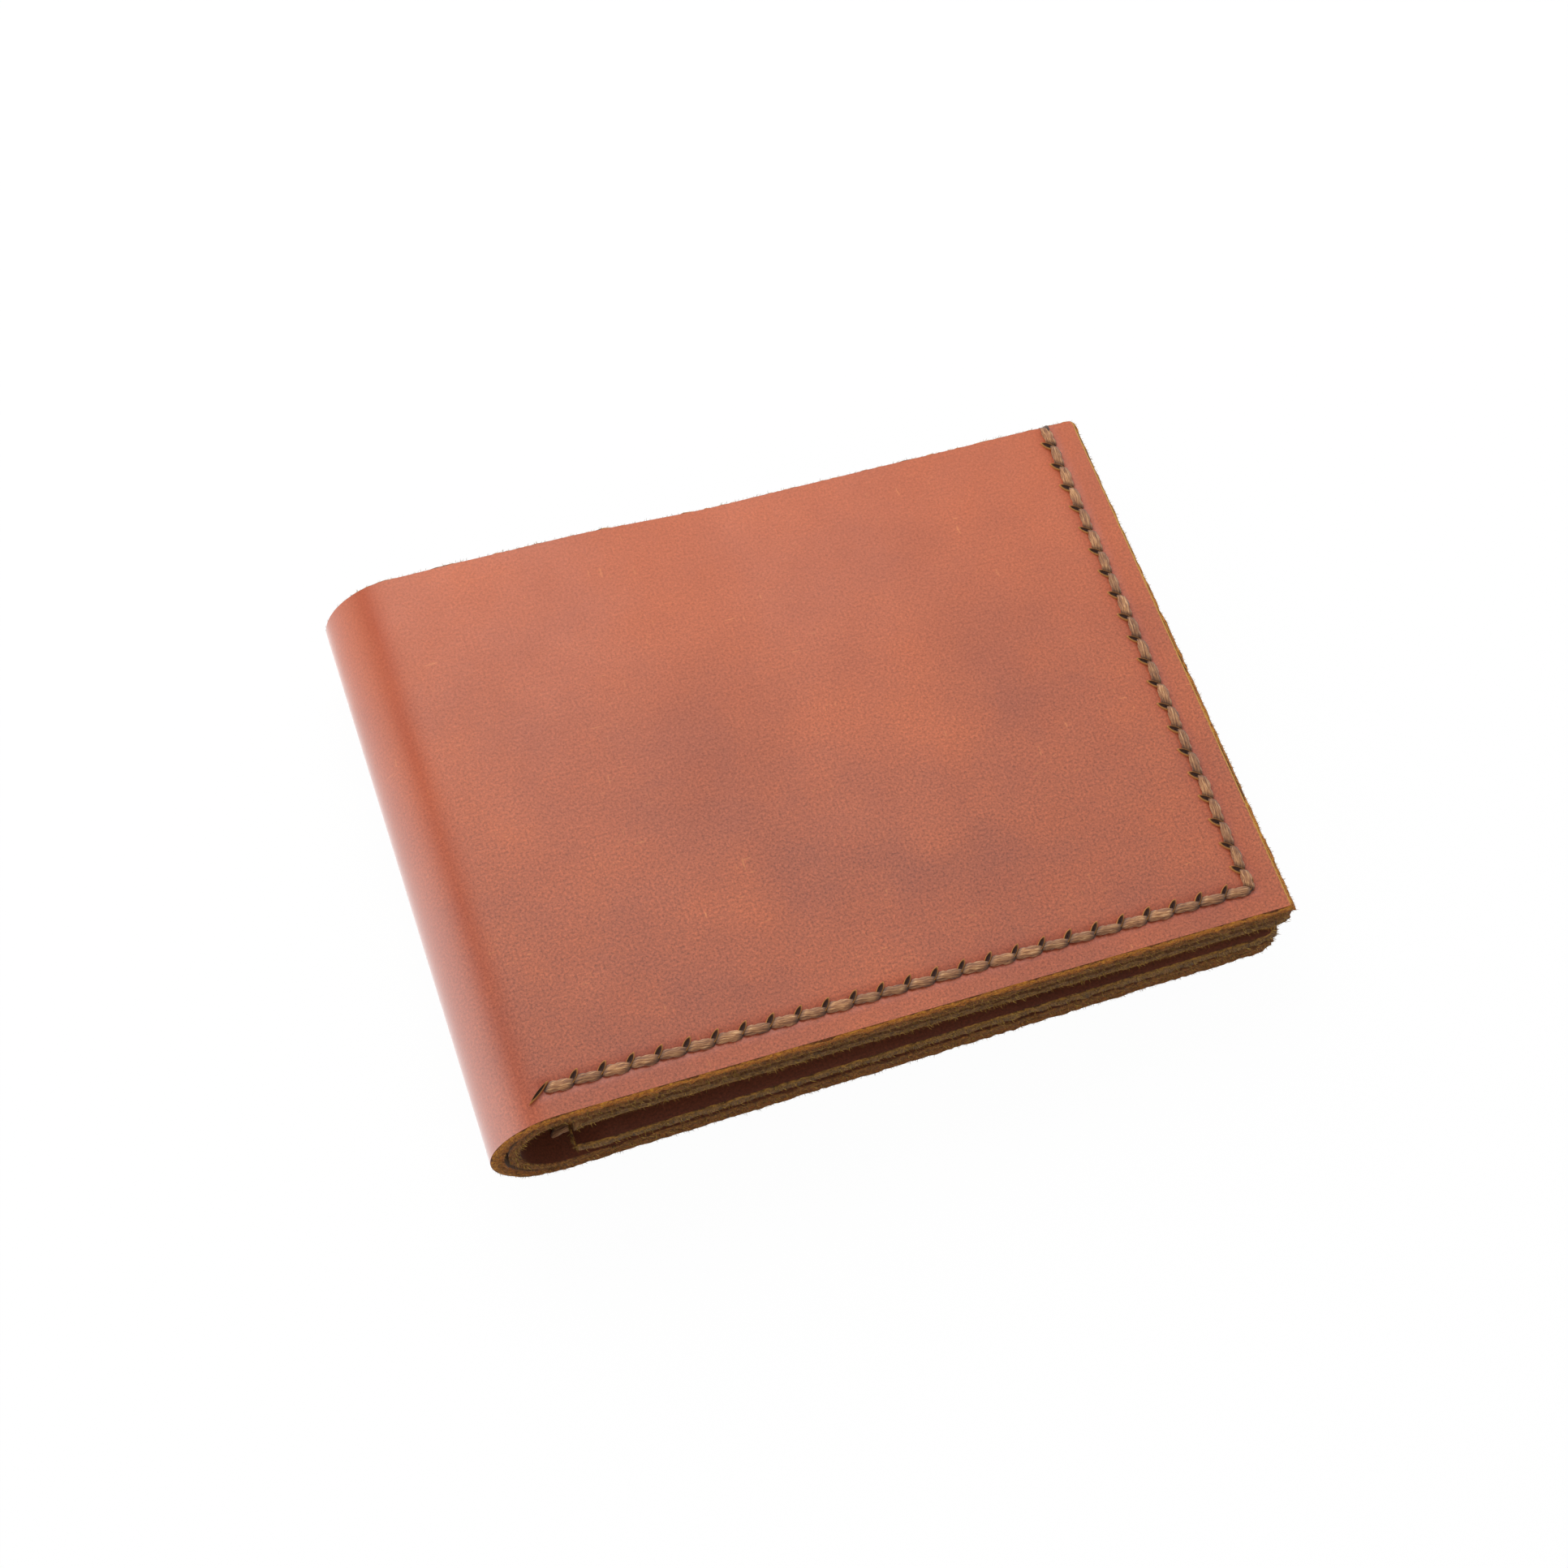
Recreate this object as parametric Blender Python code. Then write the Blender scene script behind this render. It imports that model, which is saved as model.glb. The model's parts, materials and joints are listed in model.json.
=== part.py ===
"""Bifold wallet of hand-sewn leather, folded shut with its back half flat on the table.

Metres, +Z up. +X runs from the fold to the free edges and +Y from the bottom seam to the bill
opening. The origin is the centre of the bounding box at the level of the table. Each half is
drawn in its own frame: u runs from the fold to the free edge, v from the bottom seam to the
opening, and w from the outer face of the shell inward through the layers.
"""
import math

import bmesh
import bpy
from mathutils import Matrix, Vector

# Driving dimensions
HEIGHT = 0.0872            # bottom edge to opening edge
FRONT_LENGTH = 0.1092      # fold tangent to free edge, front half
BACK_SHORTER = 0.0010      # the back half stops this much before the front half
FOLD_RADIUS = 0.0101       # outer face of the shell round the fold
SHELL = 0.0018             # leather thicknesses
LINER = 0.0015
SLOT = 0.0010
POCKET = 0.0015
GAP = 0.0003               # air between neighbouring pieces
CORNER = 0.0010            # corner radius of the shell and the liner at the free edge

# Seams
PITCH = 0.0040             # saddle stitch
THREAD_WIDTH = 0.0010
THREAD = 0.0004            # thickness of a flattened stitch
RUNG = 0.0008              # length, along the seam, of a thread's pass through the leather
NEAR_INSET = 0.0042        # bottom seam from the bottom edge
SIDE_INSET = 0.0048        # side seam from the free edge
FAR_MARGIN = 0.0037        # last side hole from the opening edge
FIRST_HOLE = -0.0004       # first bottom hole, along u
SHORTEST_STEP = 0.0024     # shortest first step of the side seam, after the corner hole
FIRST_STITCH_SHARE = 0.6   # pockets and slots begin this far along the bottom seam's first stitch

# Liner, slots and pockets
LINER_DROP = 0.0020        # liner's opening edge below the shell's
POCKET_TOP = 0.0500        # wished heights, eased to fall midway between two stitches
SLOT_TOP = 0.0640
BAND = 0.0200              # height of a T-slot's band
STEM_INSET = 0.0100        # stem of the T from the free edge and from the fold side of the pocket
STEM_BOTTOM = 0.0120
SLOT_SEAM = 0.0035         # slot's own seam above the bottom of its stem
POCKET_SEAM = 0.0040       # pocket's fold-side seam from its edge
SEAM_END = 0.0060          # how far an inner seam stops short of an edge

# Fold
LIP = math.radians(16)     # bend that each flat leather piece takes before the fold pieces begin
FOLD_STEPS = 30
LIP_STEPS = 4
CORNER_STEPS = 3
OVERCUT = 0.0010           # how far a cutter stands out of what it cuts
SAME_SPOT = 0.000003       # points nearer than this along an axis count as level

# Layers of a half, as (outer face, inner face) along w
SHELL_W = (0.0, SHELL)
LINER_W = (SHELL_W[1] + GAP, SHELL_W[1] + GAP + LINER)
SLOT_W = (LINER_W[1] + GAP, LINER_W[1] + GAP + SLOT)
POCKET_W = (SLOT_W[1] + GAP, SLOT_W[1] + GAP + POCKET)
STACK = POCKET_W[1]

# The front half slopes down until the pockets meet at the free edge
TILT = math.asin((2 * FOLD_RADIUS - 2 * STACK - GAP) / FRONT_LENGTH)
TURN = math.pi + TILT
LENGTH = FOLD_RADIUS + FOLD_RADIUS * math.sin(TILT) + FRONT_LENGTH * math.cos(TILT)
FOLD_CENTRE = Vector((FOLD_RADIUS - LENGTH / 2, 0.0, FOLD_RADIUS))

# Two hinges share the fold's turn. At this radius they bring the halves exactly flat when open.
NEUTRAL = FOLD_RADIUS - (SHELL_W[1] + LINER_W[0]) / 2
HINGE_RADIUS = NEUTRAL * (TURN / 4) / math.sin(TURN / 4)


def on_fold(radius, angle):
    """Point round the fold, from its bottom (0) over its left side to its top (pi)."""
    return FOLD_CENTRE + radius * Vector((-math.sin(angle), 0.0, -math.cos(angle)))


def clear_scene():
    """Clear the scene that Blender starts with."""
    for old in list(bpy.data.objects):
        bpy.data.objects.remove(old, do_unlink=True)


def material(name, colour, roughness):
    """Principled material with one colour."""
    made = bpy.data.materials.new(name)
    made.use_nodes = True
    shader = made.node_tree.nodes["Principled BSDF"]
    shader.inputs["Base Color"].default_value = (*colour, 1.0)
    shader.inputs["Roughness"].default_value = roughness
    return made


def axis_empty(name, position, tilt=0.0):
    """Empty on a joint's axis, which carries the pieces that turn there."""
    empty = bpy.data.objects.new(name, None)
    empty.location = position
    empty.rotation_euler = (0.0, tilt, 0.0)
    bpy.context.scene.collection.objects.link(empty)
    return empty


def add_prism(bm, outline, plane, low, high, side):
    """Add a closed prism: an outline in the plane uv, uw or vw, from low to high along the third axis."""
    third = "uvw".index(next(axis for axis in "uvw" if axis not in plane))
    first, second = ("uvw".index(axis) for axis in plane)
    rings = []
    for level in (low, high):
        ring = []
        for a, b in outline:
            spot = [0.0, 0.0, 0.0]
            spot[first], spot[second], spot[third] = a, b, level
            ring.append(bm.verts.new((spot[0], spot[1] - HEIGHT / 2, side * spot[2])))
        rings.append(ring)
    bm.faces.new(rings[0])
    bm.faces.new(rings[1])
    for i in range(len(outline)):
        j = (i + 1) % len(outline)
        bm.faces.new((rings[0][i], rings[0][j], rings[1][j], rings[1][i]))


def rectangle(a0, a1, b0, b1):
    """Corners of a rectangle, as an outline."""
    return [(a0, b0), (a1, b0), (a1, b1), (a0, b1)]


def arc(radius, start, end, steps):
    """Outline points round the fold's centre, in a half's u and w."""
    angles = [start + (end - start) * i / steps for i in range(steps + 1)]
    return [(-radius * math.sin(a), FOLD_RADIUS - radius * math.cos(a)) for a in angles]


def evenly(start, end):
    """Hole centres from start to end, the pitch eased so that they come out even."""
    steps = max(1, round((end - start) / PITCH))
    return [start + (end - start) * i / steps for i in range(steps + 1)]


def side_holes():
    """Side seam's hole centres, along v, counted down from the opening to the corner hole."""
    last = HEIGHT - FAR_MARGIN
    steps = int((last - NEAR_INSET - SHORTEST_STEP) / PITCH)
    return [NEAR_INSET] + [last - PITCH * i for i in range(steps, -1, -1)]


def between_side_holes(wished):
    """Height nearest to the wished one that lies midway between two side holes."""
    first_gap = HEIGHT - FAR_MARGIN - PITCH / 2
    return first_gap - PITCH * round((first_gap - wished) / PITCH)


class Half:
    """One half of the wallet: its sheets, its seams and the empty that carries them."""

    def __init__(self, name, length, side, carrier, offset):
        self.name = name
        self.length = length
        self.side = side
        self.carrier = carrier
        self.offset = offset
        self.fold_edge = FIRST_HOLE + FIRST_STITCH_SHARE * PITCH
        self.pocket_top = between_side_holes(POCKET_TOP)
        self.slot_top = between_side_holes(SLOT_TOP)
        self.seam_u = length - SIDE_INSET

    def finish(self, name, bm, surface=None):
        """Turn a bmesh into an object in this half's frame; without a surface it is a cutter."""
        bmesh.ops.recalc_face_normals(bm, faces=bm.faces)
        mesh = bpy.data.meshes.new(name)
        bm.to_mesh(mesh)
        bm.free()
        made = bpy.data.objects.new(name, mesh)
        bpy.context.scene.collection.objects.link(made)
        made.parent = self.carrier
        made.location = self.offset
        if surface is None:
            made.hide_render = True
            made.display_type = "WIRE"
        else:
            mesh.materials.append(surface)
        return made

    def cutter(self, name, prisms):
        """One cutting object made of separate prisms."""
        bm = bmesh.new()
        for outline, plane, low, high in prisms:
            add_prism(bm, outline, plane, low, high, self.side)
        return self.finish(f"{name}_{self.name}", bm)

    def bent_sheet(self, name, layer, top, surface):
        """Shell or liner: flat leather that starts with a short bend round the fold."""
        outer, inner = (FOLD_RADIUS - w for w in layer)
        outline = arc(outer, LIP, 0.0, LIP_STEPS)
        outline += [(self.length, layer[0]), (self.length, layer[1])]
        outline += arc(inner, 0.0, LIP, LIP_STEPS)
        bm = bmesh.new()
        add_prism(bm, outline, "uw", 0.0, top, self.side)
        self.round_corners(bm)
        return self.finish(f"{name}_{self.name}", bm, surface)

    def flat_sheet(self, name, outline, layer, surface):
        """Pocket or slot: a flat leather outline."""
        bm = bmesh.new()
        add_prism(bm, outline, "uv", layer[0], layer[1], self.side)
        self.round_corners(bm, bottom_only=True)
        return self.finish(f"{name}_{self.name}", bm, surface)

    def round_corners(self, bm, bottom_only=False):
        """Round the upright edges at the free end."""
        edges = []
        for edge in bm.edges:
            a, b = (vert.co for vert in edge.verts)
            at_end = min(a.x, b.x) > self.length - CORNER
            upright = abs(a.x - b.x) + abs(a.y - b.y) < SAME_SPOT
            low_enough = not bottom_only or a.y < CORNER - HEIGHT / 2
            if at_end and upright and low_enough:
                edges.append(edge)
        bmesh.ops.bevel(bm, geom=edges, offset=CORNER, segments=CORNER_STEPS, profile=0.5,
                        affect="EDGES")

    def cut(self, sheet, *cutters):
        """Subtract cutters from a sheet."""
        for tool in cutters:
            boolean = sheet.modifiers.new(tool.name, "BOOLEAN")
            boolean.operation = "DIFFERENCE"
            boolean.solver = "EXACT"
            boolean.object = tool

    def l_outline(self, half_width, start, end):
        """Plan of the main seam: along the bottom edge, then up the free edge."""
        u, v, h = self.seam_u, NEAR_INSET, half_width
        return [(start, v - h), (u + h, v - h), (u + h, end), (u - h, end), (u - h, v + h),
                (start, v + h)]

    def main_seam(self, shell, liner, slot, pocket, surface):
        """Saddle seam that holds the whole stack: holes, grooves and thread."""
        bottom = evenly(FIRST_HOLE, self.seam_u)
        side = side_holes()
        h = THREAD_WIDTH / 2 + GAP
        r = RUNG / 2 + GAP
        through = (-OVERCUT, STACK + OVERCUT)
        holes = [(rectangle(u - r, u + r, NEAR_INSET - h, NEAR_INSET + h), "uv", *through)
                 for u in bottom[:-1]]
        holes += [(rectangle(self.seam_u - h, self.seam_u + h, v - r, v + r), "uv", *through)
                  for v in side[1:]]
        corner = rectangle(self.seam_u - h, self.seam_u + h, NEAR_INSET - h, NEAR_INSET + h)
        holes.append((corner, "uv", *through))
        notch = rectangle(self.seam_u - h, self.seam_u + h, HEIGHT - THREAD - GAP, HEIGHT + OVERCUT)
        holes.append((notch, "uv", *through))
        start = FIRST_HOLE - RUNG / 2
        groove = self.l_outline(h, start - GAP, HEIGHT + OVERCUT)
        depth = THREAD + GAP
        all_holes = self.cutter("seam_holes", holes)
        outer_groove = self.cutter("outer_groove", [(groove, "uv", -OVERCUT, depth)])
        inner_groove = self.cutter("inner_groove", [(groove, "uv", STACK - depth, STACK + OVERCUT)])
        for sheet in (shell, liner, slot, pocket):
            self.cut(sheet, all_holes)
        self.cut(shell, outer_groove)
        self.cut(pocket, inner_groove)

        # Thread: a wall along the seam, opened between its passes and stepped down past each edge
        bm = bmesh.new()
        add_prism(bm, self.l_outline(THREAD_WIDTH / 2, start, HEIGHT), "uv", 0.0, STACK, self.side)
        thread = self.finish(f"seam_thread_{self.name}", bm, surface)
        on_liner = LINER_W[1] + GAP
        on_slot = SLOT_W[1] + GAP
        on_pocket = STACK - THREAD
        rise = self.fold_edge - GAP
        first_fall = self.pocket_top + GAP
        second_fall = self.slot_top + GAP
        above = STACK + OVERCUT
        across_bottom = (NEAR_INSET - h, NEAR_INSET + h)
        across_side = (self.seam_u - h, self.seam_u + h)
        bottom_openings = windows(bottom, THREAD, on_liner, [(rise, on_pocket)])
        bottom_openings.append(rectangle(start - OVERCUT, rise - THREAD, on_liner + THREAD, above))
        falls = [(first_fall, on_slot), (second_fall, on_liner)]
        side_openings = windows(side + [HEIGHT - THREAD + RUNG / 2], THREAD, on_pocket, falls)
        side_openings.append([
            (first_fall + THREAD, on_slot + THREAD), (second_fall + THREAD, on_slot + THREAD),
            (second_fall + THREAD, on_liner + THREAD), (HEIGHT + OVERCUT, on_liner + THREAD),
            (HEIGHT + OVERCUT, above), (first_fall + THREAD, above)])
        self.cut(thread,
                 self.cutter("bottom_windows", [(o, "uw", *across_bottom) for o in bottom_openings]),
                 self.cutter("side_windows", [(o, "vw", *across_side) for o in side_openings]))

    def inner_seam(self, name, line, start, end, along, sheets, inner_face, surface):
        """Straight seam that holds a pocket or a slot to the liner, parallel to u or v."""
        holes = evenly(start, end)
        h = THREAD_WIDTH / 2
        wide = h + GAP
        r = RUNG / 2 + GAP
        outer_face = LINER_W[0]
        depth = THREAD + GAP

        def plan(a, b, half_width):
            if along == "u":
                return rectangle(a, b, line - half_width, line + half_width)
            return rectangle(line - half_width, line + half_width, a, b)

        punched = self.cutter(f"{name}_holes", [
            (plan(s - r, s + r, wide), "uv", outer_face - OVERCUT, inner_face + OVERCUT)
            for s in holes])
        groove = plan(holes[0] - r, holes[-1] + r, wide)
        outer = self.cutter(f"{name}_outer_groove",
                            [(groove, "uv", outer_face - OVERCUT, outer_face + depth)])
        inner = self.cutter(f"{name}_inner_groove",
                            [(groove, "uv", inner_face - depth, inner_face + OVERCUT)])
        for sheet in sheets:
            self.cut(sheet, punched)
        self.cut(sheets[0], outer)
        self.cut(sheets[-1], inner)

        bm = bmesh.new()
        outline = plan(holes[0] - RUNG / 2, holes[-1] + RUNG / 2, h)
        add_prism(bm, outline, "uv", outer_face, inner_face, self.side)
        thread = self.finish(f"{name}_{self.name}", bm, surface)
        opened = windows(holes, outer_face + THREAD, inner_face - THREAD, [])
        prisms = [(outline, f"{along}w", line - wide, line + wide) for outline in opened]
        self.cut(thread, self.cutter(f"{name}_windows", prisms))

    def build(self, leathers, threads):
        """Make every sheet and thread of this half."""
        shell = self.bent_sheet("outer_shell", SHELL_W, HEIGHT, leathers["shell"])
        liner = self.bent_sheet("liner", LINER_W, HEIGHT - LINER_DROP, leathers["liner"])
        stem = (self.fold_edge + STEM_INSET, self.length - STEM_INSET)
        band = self.slot_top - BAND
        t_outline = [(self.fold_edge, band), (stem[0], band), (stem[0], STEM_BOTTOM),
                     (stem[1], STEM_BOTTOM), (stem[1], band), (self.length, band),
                     (self.length, self.slot_top), (self.fold_edge, self.slot_top)]
        slot = self.flat_sheet("card_slot", t_outline, SLOT_W, leathers["slot"])
        pocket_outline = rectangle(self.fold_edge, self.length, 0.0, self.pocket_top)
        pocket = self.flat_sheet("card_pocket", pocket_outline, POCKET_W, leathers["pocket"])

        self.main_seam(shell, liner, slot, pocket, threads["seam"])
        self.inner_seam("pocket_thread", self.fold_edge + POCKET_SEAM, NEAR_INSET + SEAM_END,
                        self.pocket_top - SEAM_END, "v", (liner, slot, pocket), POCKET_W[1],
                        threads["pocket"])
        self.inner_seam("slot_thread", STEM_BOTTOM + SLOT_SEAM, stem[0] + SEAM_END,
                        stem[1] - SEAM_END, "u", (liner, slot), SLOT_W[1], threads["slot"])


def windows(stops, low, high, steps):
    """Openings of a thread between its passes, in the seam's length and w.

    The openings reach from low up to high, and after each (place, level) step up to its level.
    """
    openings = []
    for a, b in zip(stops, stops[1:]):
        start, end = a + RUNG / 2, b - RUNG / 2
        level = [value for place, value in [(start, high)] + steps if place <= start][-1]
        outline = [(start, low), (start, level)]
        for place, value in steps:
            if start < place < end:
                outline += [(place, level), (place, value)]
                level = value
        outline += [(end, level), (end, low)]
        openings.append(outline)
    return openings


def fold_piece(name, layer, top, carrier, surface):
    """Leather that bends round the fold, between the two halves."""
    outer, inner = (FOLD_RADIUS - w for w in layer)
    clear = LIP + GAP / inner
    outline = arc(outer, clear, TURN - clear, FOLD_STEPS)
    outline += arc(inner, TURN - clear, clear, FOLD_STEPS)
    bm = bmesh.new()
    add_prism(bm, outline, "uw", 0.0, top, 1)
    bmesh.ops.translate(bm, vec=FOLD_CENTRE - Vector((0.0, 0.0, FOLD_RADIUS)) - carrier.location,
                        verts=bm.verts)
    bmesh.ops.recalc_face_normals(bm, faces=bm.faces)
    mesh = bpy.data.meshes.new(name)
    bm.to_mesh(mesh)
    bm.free()
    mesh.materials.append(surface)
    made = bpy.data.objects.new(name, mesh)
    made.parent = carrier
    bpy.context.scene.collection.objects.link(made)


clear_scene()

LEATHERS = {
    "shell": material("pull_up_leather", (0.235, 0.085, 0.045), 0.45),
    "liner": material("liner_leather", (0.260, 0.110, 0.055), 0.55),
    "slot": material("skived_leather", (0.300, 0.130, 0.065), 0.60),
    "pocket": material("pocket_leather", (0.245, 0.095, 0.050), 0.50),
}
THREADS = {
    "seam": material("waxed_seam_thread", (0.260, 0.175, 0.095), 0.60),
    "pocket": material("waxed_pocket_thread", (0.270, 0.180, 0.100), 0.60),
    "slot": material("waxed_slot_thread", (0.250, 0.165, 0.090), 0.60),
}

# Back half: flat on the table, it carries the rest
back_carrier = axis_empty("back_half", FOLD_CENTRE - Vector((0.0, 0.0, FOLD_RADIUS)))
Half("back", FRONT_LENGTH - BACK_SHORTER, 1, back_carrier, Vector()).build(LEATHERS, THREADS)

# Fold pieces turn about the first hinge
spine_carrier = axis_empty("back_hinge", on_fold(HINGE_RADIUS, TURN / 4))
fold_piece("outer_shell_fold", SHELL_W, HEIGHT, spine_carrier, LEATHERS["shell"])
fold_piece("liner_fold", LINER_W, HEIGHT - LINER_DROP, spine_carrier, LEATHERS["liner"])

# Front half turns about the second hinge
hinge = on_fold(HINGE_RADIUS, 3 * TURN / 4)
front_carrier = axis_empty("front_hinge", hinge, TILT)
from_hinge = Matrix.Rotation(-TILT, 3, "Y") @ (on_fold(FOLD_RADIUS, TURN) - hinge)
Half("front", FRONT_LENGTH, -1, front_carrier, from_hinge).build(LEATHERS, THREADS)
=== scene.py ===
# %% [markdown]
# # A bifold wallet, cut and stitched by hand
# The wallet is folded from two sheets of leather, the outer shell and the liner, with two card pockets
# and two T-shaped card slots sewn inside. The CAD frame holds its sizes, joints and mass. This script
# makes what the eye sees: bent leather with raw edges, saddle stitches and the marks of the awl.

# %% Load the frame
import json
import math

import bmesh
import bpy
import numpy as np
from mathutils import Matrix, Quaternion, Vector, noise


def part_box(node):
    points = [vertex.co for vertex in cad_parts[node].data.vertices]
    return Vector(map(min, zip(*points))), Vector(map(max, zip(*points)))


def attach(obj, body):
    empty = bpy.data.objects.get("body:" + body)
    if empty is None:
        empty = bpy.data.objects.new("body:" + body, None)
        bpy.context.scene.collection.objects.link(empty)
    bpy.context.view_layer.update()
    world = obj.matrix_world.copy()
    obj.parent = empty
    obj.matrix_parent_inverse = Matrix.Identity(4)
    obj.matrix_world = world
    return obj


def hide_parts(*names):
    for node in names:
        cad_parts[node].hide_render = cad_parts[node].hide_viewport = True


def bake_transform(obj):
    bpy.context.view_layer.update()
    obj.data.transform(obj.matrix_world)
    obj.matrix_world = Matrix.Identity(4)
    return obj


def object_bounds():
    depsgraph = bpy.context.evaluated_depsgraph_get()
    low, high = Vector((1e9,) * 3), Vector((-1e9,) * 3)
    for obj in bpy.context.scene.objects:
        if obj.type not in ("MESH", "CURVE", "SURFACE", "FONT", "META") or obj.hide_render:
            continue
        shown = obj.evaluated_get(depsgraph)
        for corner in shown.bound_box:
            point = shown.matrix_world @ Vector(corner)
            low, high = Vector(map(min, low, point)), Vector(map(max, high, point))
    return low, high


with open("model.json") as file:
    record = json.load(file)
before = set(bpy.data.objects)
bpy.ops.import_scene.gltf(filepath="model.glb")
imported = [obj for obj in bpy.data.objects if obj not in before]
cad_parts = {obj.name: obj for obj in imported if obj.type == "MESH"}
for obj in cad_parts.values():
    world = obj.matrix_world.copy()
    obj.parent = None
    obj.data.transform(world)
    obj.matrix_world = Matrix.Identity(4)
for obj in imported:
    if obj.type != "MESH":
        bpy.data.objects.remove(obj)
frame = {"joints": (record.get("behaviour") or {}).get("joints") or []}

cad_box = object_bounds()

# %% [markdown]
# ## Sizes
# A maker thinks in millimetres, so the sizes are written in millimetres and turned to metres once, by
# MM. The outline comes from the frame. The rest are the leather and seam sizes that the CAD part has.

# %% Sizes
MM = 0.001
HEIGHT = cad_box[1].y - cad_box[0].y
BACK_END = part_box("outer_shell_back")[1].x
FRONT_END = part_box("outer_shell_front")[1].x
FOLD_RADIUS = 10.1 * MM
FOLD_CENTRE = Vector((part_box("outer_shell_fold")[0].x + FOLD_RADIUS, 0.0, FOLD_RADIUS))
SHELL, LINER, SLOT, POCKET, GAP = (t * MM for t in (1.8, 1.5, 1.0, 1.5, 0.3))
STACK = SHELL + LINER + SLOT + POCKET + 3 * GAP
TURN = 2 * math.radians(frame["joints"][0]["range_deg"][1])
TILT = TURN - math.pi
FRONT_START = FOLD_CENTRE + FOLD_RADIUS * Vector((math.sin(TILT), 0.0, math.cos(TILT)))
LENGTH = {"back": BACK_END - FOLD_CENTRE.x,
          "front": (FRONT_END - FRONT_START.x) / math.cos(TILT)}
FOLD_ARC = FOLD_RADIUS * TURN / 2
print(f"front half {LENGTH['front'] / MM:.1f} mm, back half {LENGTH['back'] / MM:.1f} mm")

# %% [markdown]
# ## How the layers lie
# Every piece is drawn in its half's own frame: u runs from the fold to the free edge, v from the sewn
# bottom edge to the bill opening, and w from the outer face inward. One function puts such a point in
# space. Because all layers of a half go through it, they settle together and never cross. The front
# half sags at the opening, where no pockets hold it up, and is squeezed a little above the pockets. The
# wallet wasn't folded quite square: the back half lies a little further towards the sewn edge.

# %% Place a point of a half
SAG = 1.7 * MM             # drop of the front half's far corner
SAG_START, SAG_FULL = 26 * MM, 53 * MM
POCKET_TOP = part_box("card_pocket_back")[1].y - cad_box[0].y
SLOT_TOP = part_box("card_slot_back")[1].y - cad_box[0].y
POCKET_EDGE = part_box("card_pocket_back")[0].x - FOLD_CENTRE.x
EASE = 3.5 * MM            # width of a change from one thickness to the next
SLIP = 0.9 * MM            # how far the back half lies towards the sewn edge


def smooth(x):
    """Smooth step from 0 to 1."""
    x = min(1.0, max(0.0, x))
    return x * x * (3 - 2 * x)


def sag(u, v):
    """How far the front half drops below its plane."""
    across = smooth((u - SAG_START) / (SAG_FULL - SAG_START))
    return SAG * across * max(0.0, v / HEIGHT)


def sheet_pile(v):
    """Height of one half's stack at v: shell and liner everywhere, slots and pockets lower down."""
    pocket_part = 1 - smooth((v - POCKET_TOP) / EASE)
    slot_part = 1 - smooth((v - SLOT_TOP) / EASE)
    return STACK - (POCKET + GAP) * (1 - pocket_part) - (SLOT + GAP) * (1 - slot_part)


def squeeze(u, v):
    """Factor on w that keeps the two halves apart where the front half sags."""
    if u < SAG_START:
        return 1.0
    room = FRONT_START.z - math.sin(TILT) * u - sag(u, v)
    return min(1.0, room / (2 * sheet_pile(v) + GAP))


def fold_angle(half, u):
    """Angle round the fold, from 0 at the back half to TURN at the front half."""
    return TURN + u / FOLD_RADIUS if half == "front" else -u / FOLD_RADIUS


def place(half, u, v, w):
    """Point in space for a place in a half's flat pattern; negative u goes round the fold."""
    y = v - HEIGHT / 2
    if u < 0:
        angle = fold_angle(half, u)
        radius = FOLD_RADIUS - w
        return Vector((FOLD_CENTRE.x - radius * math.sin(angle), y - SLIP * smooth(1 - angle / TURN),
                       FOLD_CENTRE.z - radius * math.cos(angle)))
    w *= squeeze(u, v)
    if half == "back":
        return Vector((FOLD_CENTRE.x + u, y - SLIP, w))
    x = FRONT_START.x + u * math.cos(TILT) - w * math.sin(TILT)
    z = FRONT_START.z - u * math.sin(TILT) - w * math.cos(TILT) - sag(u, v)
    return Vector((x, y, z))


def facing(half, u, v):
    """Directions along u, along v and out of the outer face, at a place of a half."""
    step = 0.2 * MM
    here = place(half, u, v, 0.0)
    along_u = (place(half, u + step, v, 0.0) - here).normalized()
    along_v = (place(half, u, v + step, 0.0) - here).normalized()
    outward = along_u.cross(along_v).normalized()
    if half == "back":
        outward.negate()
    return along_u, along_v, outward


far_corner = place("front", LENGTH["front"], HEIGHT, 0.0)
print("far corner of the front half, in mm:", [round(c / MM, 1) for c in far_corner])

# %% [markdown]
# ## Where the seams run
# The main seam is a saddle seam at a pitch of 4 mm: along the bottom edge, round the corner and up the
# free edge. The holes are counted down from the opening, so the step after the corner is the odd one.

# %% Seam lines
PITCH = 4.0 * MM
NEAR_INSET, SIDE_INSET, FAR_MARGIN = (d * MM for d in (4.2, 4.8, 3.7))
FIRST_HOLE = -1.0 * MM
SHORTEST_STEP = 2.4 * MM
SEAM_U = {half: LENGTH[half] - SIDE_INSET for half in LENGTH}


def evenly(start, end):
    """Hole places from start to end, with the pitch eased so that they come out even."""
    steps = round((end - start) / PITCH)
    return [start + (end - start) * i / steps for i in range(steps + 1)]


side_steps = int((HEIGHT - FAR_MARGIN - NEAR_INSET - SHORTEST_STEP) / PITCH)
SIDE_HOLES = [HEIGHT - FAR_MARGIN - PITCH * i for i in range(side_steps, -1, -1)]
BOTTOM_HOLES = {half: evenly(FIRST_HOLE, SEAM_U[half]) for half in LENGTH}
print(len(BOTTOM_HOLES["front"]), "holes along the bottom and", len(SIDE_HOLES), "up the side")


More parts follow.
